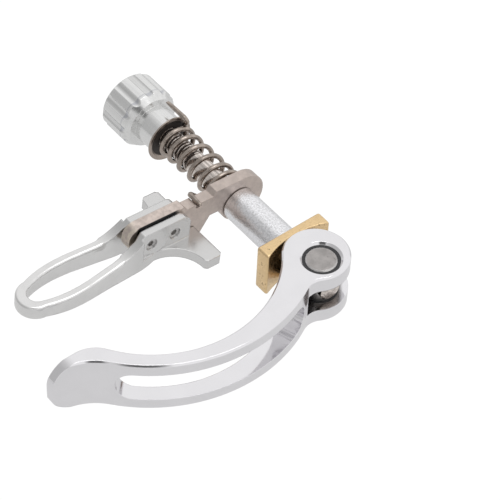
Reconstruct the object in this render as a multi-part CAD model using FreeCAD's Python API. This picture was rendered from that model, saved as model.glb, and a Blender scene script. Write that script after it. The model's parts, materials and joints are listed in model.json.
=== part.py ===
import FreeCAD, Part
import math
import os

# A seat clamp with a cam lever for a folding bicycle. Millimetres.
# The clamp bolt lies along X. X = 0 is the face of the brass block that presses
# on the frame. The cam lever turns about an axis along Z, and the lever and the
# latch handle both reach towards -Y.

V = FreeCAD.Vector
X_AXIS = V(1, 0, 0)
Y_AXIS = V(0, 1, 0)
Z_AXIS = V(0, 0, 1)
ORIGIN = V(0, 0, 0)

# Clamp bolt and barrel
bolt_radius = 3.0
bolt_hole_clearance = 0.1
thread_clearance = 0.02
barrel_radius = 4.0
barrel_length = 15.0
barrel_rim_chamfer = 0.35
bolt_end_past_barrel = 0.5
bolt_end_chamfer = 0.5

# Cam lever, seen from above
cam_radius = 8.44
cam_offset = 1.87
lever_height = 15.8
blade_inner_radius = 31.3
blade_outer_radius = 41.4
blade_reach = 22.95
blade_inner_reach = 18.0
blade_outer_bend = 28.2
neck_radius = 5.0
tip_outer_radius = 15.0
tip_inner_radius = 8.0
tip_outer_x = 2.7
tip_thickness = 2.2
tip_y = -73.0
lever_edge_chamfer = 0.45

# Fork slot for the bolt, and the slot along the blade
fork_slot_height = 6.9
fork_floor_radius = 9.4
bolt_slot_clearance = 0.3
blade_slot_height = 9.0
blade_slot_tip_y = -59.2
blade_slot_wall = 1.9

# Bushes in the ears of the fork
bush_radius = 4.7
bush_fit = 0.02
bush_bore_clearance = 0.04
bush_recess = 0.7
bush_end_gap = 0.1
ear_chamfer = 0.6

# Brass cam block
block_width = 19.6
block_height = 13.9
block_thickness = 4.4
seat_gap = 0.1
seat_radius = 23.0
block_chamfer = 0.8
socket_depth = 1.0
socket_clearance = 0.1
block_waist = 2.28

# Sleeve between the frame's lugs
sleeve_radius = 4.6
sleeve_length = 19.3
neck_wall = 0.6
neck_past_plate = 1.2

# Latch plate
plate_thickness = 3.0
plate_clearance = 0.06
latch_tilt = -5.0
plate_top = 7.7
head_radius = 6.7
head_shift_y = 1.3
head_shift_z = 1.0
bar_bottom = 0.3
tail_y = -34.4
tail_round = 3.2
recess_start_y = -17.8
recess_end_y = -8.6
recess_top = 6.45
recess_ramp = 1.0
hook_groove_y = -13.2
hook_groove_floor = 5.0
leg_start_y = -9.0
leg_foot_y = -12.8
leg_back_y = -17.6
leg_foot = -6.0
leg_foot_round = 1.2

# Handle
slot_clearance = 0.1
cheek_thickness = 2.2
cheek_top = 7.0
cheek_front_y = -17.2
cheek_back_y = -32.2
cheek_corner_round = 2.8
shoulder_sag = 0.7
handle_bottom = -3.3
flange_thickness = 2.8
loop_half_width = 6.35
loop_wide_y = -50.0
loop_waist_half_width = 5.1
loop_waist_y = -37.5
arm_width = 2.35
tip_half_width = 4.9
handle_tip_y = -65.6
tip_top = 0.3
tip_extra_wall = 0.6
slot_mouth_y = -30.8
loop_root_y = -33.4
loop_root_half_width = 4.9
loop_top_start_y = -40.0
loop_top_start = 2.5
shoulder_y = -31.5
wing_span = 13.3
wing_front_y = -14.2
wing_width = 5.0
wing_flare_radius = 8.8
wing_corner = 0.7

# Handle screws
screw_radius = 1.6
screw_clearance = 0.03
screw_z = 2.8
screw_rear_y = -29.0
screw_pitch = 7.1
screw_recess = 0.5
screw_socket_flats = 1.6
screw_socket_depth = 1.2

# Spring
wire_radius = 0.59
coil_radius = 4.5
coil_turns = 7
coil_points_per_turn = 22
coil_end_slowing = 0.2
wire_sides = 6
wire_bend_steps = 4
spring_seat_gap = 0.09
hook_bend_radius = 0.8
hook_past_plate = 1.2
tail_leg_radius = 7.35
tail_leg_length = 7.0
tail_leg_bend = 1.1
tail_leg_angle = 74.0
tail_leg_lift = 0.6
tail_leg_shift = 3.3
tail_knee_bend = 2.0
tail_knee_length = 0.8

# Spring cup
cup_x = -48.2
cup_radius = 6.65
cup_back_radius = 5.6
cup_rim_width = 0.85
cup_hollow_radius = 5.3
cup_thickness = 1.0
cup_floor = 0.5
cup_edge = 0.35
cup_edge_break = 0.1
cup_bore_clearance = 0.15

# Knob nut
knob_radius = 8.4
knob_front_radius = 7.2
knob_front_x = -54.6
knob_chamfer_length = 2.0
knob_rear_x = -65.3
knob_rear_chamfer = 0.5
collar_radius = 5.45
flute_count = 12
first_flute_angle = -5.0
flute_radius = 1.7
flute_depth = 0.55
knob_end_wall = 1.8
bolt_end_gap = 0.8

# How far a cut runs past the faces it opens, and the smallest length that counts
past = 1.0
tiny = 1e-4

# Values that follow from the sizes above
pin_x = block_waist + seat_gap + cam_radius + cam_offset
plate_front_x = -sleeve_length
plate_back_x = plate_front_x - plate_thickness
plate_mid_x = plate_front_x - plate_thickness / 2
neck_radius_out = bolt_radius + bolt_hole_clearance + neck_wall
bolt_x0 = knob_rear_x + knob_end_wall + bolt_end_gap
bolt_x1 = pin_x + barrel_radius + bolt_end_past_barrel


def rod_x(x0, x1, radius):
    return Part.makeCylinder(radius, x1 - x0, V(x0, 0, 0), X_AXIS)


def box(x0, x1, y0, y1, z0, z1):
    return Part.makeBox(x1 - x0, y1 - y0, z1 - z0, V(x0, y0, z0))


def polygon_face(points):
    return Part.Face(Part.makePolygon(points + [points[0]]))


def arc_edge(centre, radius, start, end, clockwise):
    """An arc of a circle in the XY plane from the point start to the point end."""
    a0 = math.atan2(start.y - centre.y, start.x - centre.x)
    a1 = math.atan2(end.y - centre.y, end.x - centre.x)
    if clockwise and a1 > a0:
        a1 -= 2 * math.pi
    if not clockwise and a1 < a0:
        a1 += 2 * math.pi
    middle = (a0 + a1) / 2
    through = centre + V(radius * math.cos(middle), radius * math.sin(middle), 0)
    return Part.Arc(start, through, end).toShape()


def circles_meet(c1, r1, c2, r2, side):
    """The point where two circles in the XY plane meet; side is +1 or -1."""
    gap = (c2 - c1).Length
    along = (r1 * r1 - r2 * r2 + gap * gap) / (2 * gap)
    across = math.sqrt(r1 * r1 - along * along)
    direction = (c2 - c1) / gap
    normal = V(-direction.y, direction.x, 0)
    return c1 + direction * along + normal * (side * across)


def between(c1, c2, distance):
    """The point on the line from c1 to c2 at the given distance from c1."""
    return c1 + (c2 - c1) / (c2 - c1).Length * distance


def pin_point(x, y):
    return V(pin_x + x, y, 0)


def cam_centre():
    return pin_point(-cam_offset, 0)


def inner_arc_centre():
    """Centre of the blade's inner arc, which runs out of the cam's circle with no corner."""
    x = blade_inner_reach - blade_inner_radius
    along = math.sqrt((blade_inner_radius + cam_radius) ** 2 - (cam_centre().x - x) ** 2)
    return V(x, -along, 0)


def outer_arc_centre():
    return V(blade_reach - blade_outer_radius, -blade_outer_bend, 0)


def lever_outline():
    """Closed outline of the lever in plan: cam, neck, curved blade and turned out tip."""
    cam = cam_centre()
    inner = inner_arc_centre()
    outer = outer_arc_centre()
    root = between(inner, cam, blade_inner_radius)
    neck = circles_meet(cam, cam_radius + neck_radius, outer, blade_outer_radius + neck_radius, 1)
    neck_start = between(cam, neck, cam_radius)
    neck_end = between(outer, neck, blade_outer_radius)
    tip_out_x = tip_outer_x + tip_outer_radius
    tip_in_x = tip_outer_x - tip_thickness + tip_inner_radius
    out_reach = blade_outer_radius + tip_outer_radius
    in_reach = blade_inner_radius + tip_inner_radius
    tip_out = V(tip_out_x, outer.y - math.sqrt(out_reach ** 2 - (tip_out_x - outer.x) ** 2), 0)
    tip_in = V(tip_in_x, inner.y - math.sqrt(in_reach ** 2 - (tip_in_x - inner.x) ** 2), 0)
    turn_out = between(outer, tip_out, blade_outer_radius)
    turn_in = between(inner, tip_in, blade_inner_radius)
    out_end = V(tip_outer_x, tip_out.y, 0)
    in_end = V(tip_outer_x - tip_thickness, tip_in.y, 0)
    tip_round = tip_thickness / 2
    corner_out = V(tip_outer_x, tip_y + tip_round, 0)
    corner_in = V(tip_outer_x - tip_thickness, tip_y + tip_round, 0)
    tip_end = V(tip_outer_x - tip_round, tip_y, 0)
    edges = [
        arc_edge(cam, cam_radius, root, neck_start, True),
        arc_edge(neck, neck_radius, neck_start, neck_end, False),
        arc_edge(outer, blade_outer_radius, neck_end, turn_out, True),
        arc_edge(tip_out, tip_outer_radius, turn_out, out_end, False),
        Part.LineSegment(out_end, corner_out).toShape(),
        Part.Arc(corner_out, tip_end, corner_in).toShape(),
        Part.LineSegment(corner_in, in_end).toShape(),
        arc_edge(tip_in, tip_inner_radius, in_end, turn_in, True),
        arc_edge(inner, blade_inner_radius, turn_in, root, False),
    ]
    return Part.Face(Part.Wire(edges))


def lever_side_view():
    """Side outline of the lever: full height, with a full round at the tip."""
    half = lever_height / 2
    reach = pin_x + blade_outer_radius
    centre = V(-reach, tip_y + half, 0)
    head_y = cam_radius + half
    low = V(-reach, tip_y + half, -half)
    high = V(-reach, tip_y + half, half)
    edges = [
        Part.Arc(high, centre - Y_AXIS * half, low).toShape(),
        Part.LineSegment(low, V(-reach, head_y, -half)).toShape(),
        Part.LineSegment(V(-reach, head_y, -half), V(-reach, head_y, half)).toShape(),
        Part.LineSegment(V(-reach, head_y, half), high).toShape(),
    ]
    return Part.Face(Part.Wire(edges)).extrude(X_AXIS * (2 * reach))


def outline_edges(shape, height):
    """The edges that run round the flat top and bottom faces."""
    found = []
    for edge in shape.Edges:
        flat = all(abs(abs(v.Z) - height) < tiny for v in edge.Vertexes)
        if flat and abs(abs(edge.CenterOfMass.z) - height) < tiny:
            found.append(edge)
    return found


def angle_about(centre, point):
    return math.degrees(math.atan2(point.y - centre.y, point.x - centre.x))


def blade_slot():
    """A slot with round ends that follows the blade and is cut square to its outer face."""
    outer = outer_arc_centre()
    half = blade_slot_height / 2
    end_y = blade_slot_tip_y
    end_x = outer.x + math.sqrt(blade_outer_radius ** 2 - (end_y - outer.y) ** 2)
    tip_angle = angle_about(outer, V(end_x, end_y, 0))
    head_angle = slot_head_angle()
    round_angle = math.degrees(half / blade_outer_radius)
    a0 = tip_angle + round_angle
    a1 = head_angle - round_angle
    near = blade_outer_radius - 2 * (blade_outer_radius - blade_inner_radius)
    far = blade_outer_radius + half
    turn = a1 - a0
    ring = Part.makeCylinder(far, blade_slot_height, outer - Z_AXIS * half, Z_AXIS, turn)
    ring = ring.cut(Part.makeCylinder(near, blade_slot_height, outer - Z_AXIS * half, Z_AXIS, 360))
    ring.rotate(outer, Z_AXIS, a0)
    for angle in (a0, a1):
        way = V(math.cos(math.radians(angle)), math.sin(math.radians(angle)), 0)
        end = Part.makeCylinder(half, far - near, outer + way * near, way)
        ring = ring.fuse(end)
    return ring


def slot_head_angle():
    """Angle of the slot's end at the head, a wall's width from the fork's floor."""
    outer = outer_arc_centre()
    pin = pin_point(0, 0)
    span = (pin - outer).Length
    offset = fork_floor_radius + blade_slot_wall
    return angle_about(outer, pin) - math.degrees(math.asin(offset / span))


def fork_slot():
    """The gap between the two ears, open to the bolt through half a turn of the lever."""
    height = fork_slot_height
    pin = pin_point(0, 0)
    low = pin - Z_AXIS * (height / 2)
    well = Part.makeCylinder(fork_floor_radius, height, low, Z_AXIS)
    side = bolt_radius + bolt_slot_clearance
    reach = 2 * cam_radius
    mouth = box(pin_x - reach, pin_x + reach, -side, reach, -height / 2, height / 2)
    ramp = well.cut(box(pin_x - reach, pin_x - side, -reach, -side, -height, height))
    end_reach = math.hypot(barrel_radius + bolt_end_past_barrel, bolt_radius) + bolt_slot_clearance
    bolt_end_sweep = Part.makeCylinder(end_reach, height, low, Z_AXIS)
    return ramp.fuse(bolt_end_sweep).fuse(mouth)


def lever():
    half = lever_height / 2
    blank = lever_outline().extrude(Z_AXIS * lever_height)
    blank.translate(V(0, 0, -half))
    body = blank.makeChamfer(lever_edge_chamfer, outline_edges(blank, half))
    body = body.common(lever_side_view())
    body = body.cut(blade_slot()).cut(fork_slot())
    pin = pin_point(0, 0)
    bore = Part.makeCylinder(bush_radius + bush_fit, lever_height, pin - Z_AXIS * half, Z_AXIS)
    body = body.cut(bore)
    wide = bush_radius + bush_fit + ear_chamfer
    for side in (1, -1):
        face = pin + Z_AXIS * (side * half)
        cone = Part.makeCone(wide, wide - ear_chamfer, ear_chamfer, face, Z_AXIS * -side)
        body = body.cut(cone)
    return body


def ear_bush(side):
    """A plain bush in one ear of the fork; side is +1 above and -1 below."""
    inner_end = fork_slot_height / 2 + bush_end_gap
    outer_end = lever_height / 2 - bush_recess
    start = pin_point(0, 0) + Z_AXIS * (side * inner_end)
    way = Z_AXIS * side
    ring = Part.makeCylinder(bush_radius, outer_end - inner_end, start, way)
    hole = barrel_radius + bush_bore_clearance
    return ring.cut(Part.makeCylinder(hole, outer_end - inner_end, start, way))


def barrel_pin():
    start = pin_point(0, 0) - Z_AXIS * (barrel_length / 2)
    pin = Part.makeCylinder(barrel_radius, barrel_length, start, Z_AXIS)
    rims = [e for e in pin.Edges if isinstance(e.Curve, Part.Circle)]
    pin = pin.makeChamfer(barrel_rim_chamfer, rims)
    hole = bolt_radius + thread_clearance
    return pin.cut(rod_x(pin_x - 2 * barrel_radius, pin_x + 2 * barrel_radius, hole))


def clamp_bolt():
    bolt = rod_x(bolt_x0, bolt_x1, bolt_radius)
    ends = [e for e in bolt.Edges if isinstance(e.Curve, Part.Circle)]
    return bolt.makeChamfer(bolt_end_chamfer, ends)


def cam_block():
    half_width = block_width / 2
    half_height = block_height / 2
    body = box(0, block_thickness, -half_width, half_width, -half_height, half_height)
    body = body.makeChamfer(block_chamfer, [e for e in body.Edges if e.BoundBox.YLength < tiny
                                            and e.BoundBox.ZLength < tiny])
    centre = V(block_waist + seat_radius, 0, -block_height)
    body = body.cut(Part.makeCylinder(seat_radius, 2 * block_height, centre, Z_AXIS))
    body = body.cut(rod_x(-past, block_thickness, bolt_radius + bolt_hole_clearance))
    socket = rod_x(-past, socket_depth, sleeve_radius + socket_clearance)
    return body.cut(socket)


def sleeve():
    """Plain tube with a thinner neck that carries the latch plate."""
    tube = rod_x(plate_front_x, socket_depth, sleeve_radius)
    neck_end = plate_back_x - neck_past_plate
    tube = tube.fuse(rod_x(neck_end, plate_front_x, neck_radius_out))
    hole = rod_x(neck_end - past, socket_depth + past, bolt_radius + bolt_hole_clearance)
    return tube.cut(hole).removeSplitter()


def tilted(shape):
    shape.rotate(ORIGIN, X_AXIS, latch_tilt)
    return shape


def side_prism(points, x0, x1):
    """A prism along X from an outline given as (y, z) pairs."""
    face = polygon_face([V(x0, y, z) for y, z in points])
    return face.extrude(X_AXIS * (x1 - x0))


def latch_plate():
    head = Part.makeCylinder(head_radius, plate_thickness, V(plate_back_x, head_shift_y, head_shift_z), X_AXIS)
    bar = box(plate_back_x, plate_front_x, tail_y, head_shift_y, bar_bottom, plate_top)
    corners = [e for e in bar.Edges if e.BoundBox.YMax < tail_y + tiny and e.BoundBox.XLength > tiny]
    bar = bar.makeFillet(tail_round, corners)
    leg = side_prism([(leg_start_y, bar_bottom), (leg_foot_y, leg_foot), (leg_back_y, leg_foot),
                      (leg_back_y, plate_top / 2), (leg_start_y, plate_top / 2)], plate_back_x, plate_front_x)
    foot = [e for e in leg.Edges if e.BoundBox.ZMax < leg_foot + tiny and e.BoundBox.XLength > tiny]
    leg = leg.makeFillet(leg_foot_round, foot)
    plate = head.fuse(bar).fuse(leg).removeSplitter()
    over = plate_top + past
    recess = side_prism([(recess_start_y, over), (recess_start_y, plate_top),
                         (recess_start_y + recess_ramp, recess_top), (recess_end_y, recess_top),
                         (recess_end_y + recess_ramp, plate_top), (recess_end_y + recess_ramp, over)],
                        plate_back_x - past, plate_front_x + past)
    plate = plate.cut(recess)
    groove_radius = wire_radius + slot_clearance
    seat = V(plate_back_x - past, hook_groove_y, hook_groove_floor + groove_radius)
    groove = Part.makeCylinder(groove_radius, plate_thickness + 2 * past, seat, X_AXIS)
    groove = groove.fuse(box(plate_back_x - past, plate_front_x + past, hook_groove_y - groove_radius,
                             hook_groove_y + groove_radius, seat.z, over))
    plate = plate.cut(groove)
    plate = plate.cut(rod_x(plate_back_x - past, plate_front_x + past, neck_radius_out + plate_clearance))
    for hole in screw_holes(screw_radius + screw_clearance):
        plate = plate.cut(hole)
    return tilted(plate)


def screw_places():
    return [V(plate_mid_x, screw_rear_y + n * screw_pitch, screw_z) for n in range(2)]


def screw_holes(radius):
    reach = cheek_outer_half() + past
    return [Part.makeCylinder(radius, 2 * reach, place - X_AXIS * reach, X_AXIS) for place in screw_places()]


def smooth_edge(points):
    curve = Part.BSplineCurve()
    curve.interpolate(points)
    return curve.toShape()


def loop_side(widths, z):
    """Points of one side of the loop in plan, from half widths given with their y."""
    return [V(plate_mid_x + half, y, z) for half, y in widths]


def loop_ring(z, reach):
    """The loop in plan, seen from above: a long ring, wider in the middle, with a round tip."""
    sides = [(loop_root_half_width, loop_root_y), (loop_waist_half_width, loop_waist_y),
             (loop_half_width, loop_wide_y), (tip_half_width, handle_tip_y + tip_half_width)]
    outer = [(cheek_outer_half(), flare_start_y())] + sides
    inner = [(half - arm_width, y) for half, y in sides]
    inner_tip = handle_tip_y + arm_width + tip_extra_wall
    return ring_face(outer, handle_tip_y, z), ring_face(inner, inner_tip, z)


def ring_face(widths, tip, z):
    """A face bounded by two mirrored smooth sides, a round tip and a straight end."""
    right = loop_side(widths, z)
    left = [V(2 * plate_mid_x - p.x, p.y, z) for p in right]
    side = smooth_edge(right)
    other = smooth_edge(list(reversed(left)))
    end = Part.Arc(right[-1], V(plate_mid_x, tip, z), left[-1]).toShape()
    start = Part.LineSegment(left[0], right[0]).toShape()
    return Part.Face(Part.Wire([side, end, other, start]))


def cheek_outer_half():
    return plate_thickness / 2 + slot_clearance + cheek_thickness


def handle_side_view():
    """Side outline of the handle: flat below, with the cheeks high and the loop sloping to its tip."""
    front = wing_front_y
    foot = V(0, loop_top_start_y, loop_top_start)
    shoulder = V(0, shoulder_y, cheek_top)
    rise_way = (shoulder - foot) / (shoulder - foot).Length
    sagged = (foot + shoulder) / 2 + V(0, rise_way.z, -rise_way.y) * shoulder_sag
    tip_end = V(0, handle_tip_y - past, tip_top)
    low_tip = V(0, handle_tip_y - past, handle_bottom)
    low_front = V(0, front, handle_bottom)
    flange_front = V(0, front, handle_bottom + flange_thickness)
    flange_cheek = V(0, cheek_front_y, handle_bottom + flange_thickness)
    cheek_end = V(0, cheek_front_y, cheek_top - cheek_corner_round)
    turn = V(0, cheek_front_y - cheek_corner_round, cheek_top)
    bend = cheek_corner_round * (1 - math.sqrt(0.5))
    corner = V(0, cheek_front_y - bend, cheek_top - bend)
    edges = [
        Part.LineSegment(tip_end, foot).toShape(),
        Part.Arc(foot, sagged, shoulder).toShape(),
        Part.LineSegment(shoulder, turn).toShape(),
        Part.Arc(turn, corner, cheek_end).toShape(),
        Part.LineSegment(cheek_end, flange_cheek).toShape(),
        Part.LineSegment(flange_cheek, flange_front).toShape(),
        Part.LineSegment(flange_front, low_front).toShape(),
        Part.LineSegment(low_front, low_tip).toShape(),
        Part.LineSegment(low_tip, tip_end).toShape(),
    ]
    face = Part.Face(Part.Wire(edges))
    face.translate(X_AXIS * (plate_mid_x - 2 * wing_span))
    return face.extrude(X_AXIS * (4 * wing_span))


def flare_start_y():
    return wing_front_y - wing_width - wing_flare_radius


def wing_flare(side):
    """The flange beside one cheek, which flares out in an arc to the end of its wing."""
    half = cheek_outer_half()
    back = wing_front_y - wing_width
    centre = V(plate_mid_x + side * (half + wing_flare_radius), flare_start_y(), 0)
    start = V(plate_mid_x + side * half, centre.y, 0)
    end = V(centre.x, back, 0)
    turn = wing_flare_radius * math.sqrt(0.5)
    middle = centre + V(-side * turn, turn, 0)
    tip_x = plate_mid_x + side * wing_span
    tip_low = V(tip_x - side * wing_corner, back, 0)
    tip = V(tip_x, back + wing_corner, 0)
    tip_front = V(tip_x, wing_front_y - wing_corner, 0)
    tip_high = V(tip_x - side * wing_corner, wing_front_y, 0)
    root_front = V(plate_mid_x, wing_front_y, 0)
    root_back = V(plate_mid_x, centre.y, 0)
    edges = [Part.Arc(start, middle, end).toShape()]
    points = [end, tip_low, tip, tip_front, tip_high, root_front, root_back, start]
    edges += [Part.LineSegment(a, b).toShape() for a, b in zip(points, points[1:])
              if (a - b).Length > tiny]
    face = Part.Face(Part.Wire(edges))
    face.translate(Z_AXIS * handle_bottom)
    return face.extrude(Z_AXIS * flange_thickness)


def slot_mouth(gap, low, deep):
    """Where the slot for the plate opens into the loop."""
    wide = loop_root_half_width - arm_width
    points = [V(plate_mid_x - gap, slot_mouth_y, low), V(plate_mid_x + gap, slot_mouth_y, low),
              V(plate_mid_x + wide, loop_root_y, low), V(plate_mid_x - wide, loop_root_y, low)]
    return polygon_face(points).extrude(Z_AXIS * deep)


def cheek_recess(side):
    """The flat field round the screws, set in from the side of the loop down to the flange."""
    start = V(plate_mid_x + side * cheek_outer_half(), cheek_back_y, handle_bottom + flange_thickness)
    field = Part.makeBox(wing_span, wing_front_y - cheek_back_y + past, cheek_top - start.z + past)
    field.translate(start if side > 0 else start - X_AXIS * wing_span)
    return field


def handle():
    low = handle_bottom - past
    deep = cheek_top - low + past
    outer, inner = loop_ring(low, deep)
    loop = outer.extrude(Z_AXIS * deep)
    half = cheek_outer_half()
    cheeks = box(plate_mid_x - half, plate_mid_x + half, cheek_back_y, cheek_front_y, low, low + deep)
    body = loop.fuse(cheeks)
    for side in (1, -1):
        body = body.fuse(wing_flare(side))
    body = body.common(handle_side_view())
    body = body.cut(inner.extrude(Z_AXIS * deep))
    gap = plate_thickness / 2 + slot_clearance
    slot = box(plate_mid_x - gap, plate_mid_x + gap, loop_waist_y, wing_front_y + past, low, low + deep)
    body = body.cut(slot).cut(slot_mouth(gap, low, deep))
    for side in (1, -1):
        body = body.cut(cheek_recess(side))
    body = body.removeSplitter()
    for hole in screw_holes(screw_radius + screw_clearance):
        body = body.cut(hole)
    return tilted(body)


def handle_screw(place):
    """A headless screw with a hexagon socket, a little below the faces of the cheeks."""
    half = cheek_outer_half() - screw_recess
    screw = Part.makeCylinder(screw_radius, 2 * half, place - X_AXIS * half, X_AXIS)
    corner = screw_socket_flats / math.sqrt(3)
    mouth = place + X_AXIS * half
    ring = []
    for n in range(6):
        turn = math.radians(60 * n)
        ring.append(mouth + V(0, corner * math.cos(turn), corner * math.sin(turn)))
    socket = polygon_face(ring).extrude(X_AXIS * -screw_socket_depth)
    return tilted(screw.cut(socket))


def polar(x, radius, degrees):
    turn = math.radians(degrees)
    return V(x, radius * math.cos(turn), radius * math.sin(turn))


def bend(corner, arrive, leave, radius):
    """Points round a bend that takes the place of a sharp corner."""
    half_turn = arrive.getAngle(leave) / 2
    start = corner - arrive * (radius * math.tan(half_turn))
    inward = (leave - arrive) / (leave - arrive).Length
    centre = corner + inward * (radius / math.cos(half_turn))
    axis = arrive.cross(leave)
    points = []
    for n in range(wire_bend_steps + 1):
        turn = FreeCAD.Rotation(axis, math.degrees(2 * half_turn) * n / wire_bend_steps)
        points.append(centre + turn.multVec(start - centre))
    return points


def wire_through(points):
    """A wire along the points, whose section is carried from point to point with no twist."""
    rings = []
    side = Y_AXIS
    for before, here, after in zip(points[:1] + points, points, points[1:] + points[-1:]):
        way = (after - before) / (after - before).Length
        side = side - way * side.dot(way)
        side = side / side.Length
        other = way.cross(side)
        ring = []
        for n in range(wire_sides):
            turn = 2 * math.pi * n / wire_sides
            ring.append(here + (side * math.cos(turn) + other * math.sin(turn)) * wire_radius)
        rings.append(Part.makePolygon(ring + ring[:1]))
    return Part.makeLoft(rings, True, True)


def spring():
    """Torsion and compression spring, with a hook over the plate and a leg along the collar."""
    first_x = plate_back_x - wire_radius - spring_seat_gap
    last_x = cup_x + cup_floor + wire_radius + spring_seat_gap
    hook = V(first_x, hook_groove_y, hook_groove_floor + wire_radius + slot_clearance)
    hook_angle = math.degrees(math.atan2(hook.z, hook.y))
    start_angle = hook_angle + math.degrees(math.acos(coil_radius / math.hypot(hook.y, hook.z)))
    leg_way = polar(first_x, coil_radius, start_angle) - hook
    leg_way = leg_way / leg_way.Length
    hook_end = V(plate_front_x + hook_past_plate, hook.y, hook.z)
    end_angle = tail_leg_angle - math.degrees(math.acos(coil_radius / tail_leg_radius))
    turn = end_angle - start_angle + 360.0 * coil_turns
    steps = round(turn / 360.0 * coil_points_per_turn)
    rest = last_x + tail_leg_lift - first_x
    coil = []
    for n in range(steps + 1):
        part = n / steps
        ease = part - math.sin(2 * math.pi * part) / (2 * math.pi) * coil_end_slowing
        coil.append(polar(first_x + rest * ease, coil_radius, start_angle + turn * part))
    last_way = polar(0, 1, end_angle + 90.0)
    rise = math.sqrt(tail_leg_radius ** 2 - coil_radius ** 2)
    knee = coil[-1] + last_way * tail_knee_length
    corner = coil[-1] + last_way * rise + X_AXIS * tail_leg_shift
    slant = (corner - knee) / (corner - knee).Length
    hook_bend = bend(hook, X_AXIS * -1, leg_way, hook_bend_radius)
    knee_bend = bend(knee, last_way, slant, tail_knee_bend)
    tail_bend = bend(corner, slant, X_AXIS * -1, tail_leg_bend)
    tail_end = tail_bend[-1] - X_AXIS * tail_leg_length
    return tilted(wire_through([hook_end] + hook_bend + coil + knee_bend + tail_bend + [tail_end]))


def spring_cup():
    """Thin dished washer: a cone behind, a flat rim in front and a hollow for the last coil."""
    front = cup_x + cup_thickness
    floor = cup_x + cup_floor
    bore = bolt_radius + cup_bore_clearance
    outline = [(cup_x, bore), (cup_x, cup_back_radius), (front - cup_edge, cup_radius),
               (front - cup_edge_break, cup_radius), (front, cup_radius - cup_edge_break),
               (front, cup_radius - cup_rim_width), (floor, cup_hollow_radius), (floor, bore)]
    return polygon_face([V(x, radius, 0) for x, radius in outline]).revolve(ORIGIN, X_AXIS, 360)


def knob_profile():
    shoulder = knob_front_x - knob_chamfer_length
    points = [
        V(knob_rear_x, 0, 0),
        V(knob_rear_x, knob_radius - knob_rear_chamfer, 0),
        V(knob_rear_x + knob_rear_chamfer, knob_radius, 0),
        V(shoulder, knob_radius, 0),
        V(knob_front_x, knob_front_radius, 0),
        V(knob_front_x, collar_radius, 0),
        V(cup_x, collar_radius, 0),
        V(cup_x, 0, 0),
    ]
    return polygon_face(points)


def knob_nut():
    """Fluted knob with a long plain collar that bears on the spring cup."""
    knob = knob_profile().revolve(ORIGIN, X_AXIS, 360)
    knob = knob.cut(rod_x(knob_rear_x + knob_end_wall, 0, bolt_radius + thread_clearance))
    reach = knob_radius + flute_radius - flute_depth
    for n in range(flute_count):
        start = polar(knob_rear_x - past, reach, first_flute_angle + 360.0 * n / flute_count)
        length = knob_front_x - knob_chamfer_length / 2 - knob_rear_x + past
        knob = knob.cut(Part.makeCylinder(flute_radius, length, start, X_AXIS))
    return knob


def main():
    os.makedirs("parts", exist_ok=True)
    screws = [handle_screw(place) for place in screw_places()]
    nodes = {
        "cam_lever": lever(),
        "upper_bush": ear_bush(1),
        "lower_bush": ear_bush(-1),
        "barrel_pin": barrel_pin(),
        "clamp_bolt": clamp_bolt(),
        "cam_block": cam_block(),
        "sleeve": sleeve(),
        "latch_plate": latch_plate(),
        "handle": handle(),
        "rear_handle_screw": screws[0],
        "front_handle_screw": screws[1],
        "spring": spring(),
        "spring_cup": spring_cup(),
        "knob_nut": knob_nut(),
    }
    for name, shape in nodes.items():
        solid = shape.Solids[0] if len(shape.Solids) == 1 else shape
        print(name, len(shape.Solids), shape.isValid(), round(shape.Volume, 2))
        solid.exportStep(f"parts/{name}.step")


main()
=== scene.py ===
"""A seatpost clamp dressed for a studio picture.

Every piece gets its metal. The finger loop, the brass block, the spring's wire and the bolt's thread get the
fine shape that the solids leave out, and a floor, a lamp and a camera make the stage.
"""
import json
import math

import bpy
from bpy.props import FloatProperty, FloatVectorProperty, IntProperty, PointerProperty
from mathutils import Matrix, Vector

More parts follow.
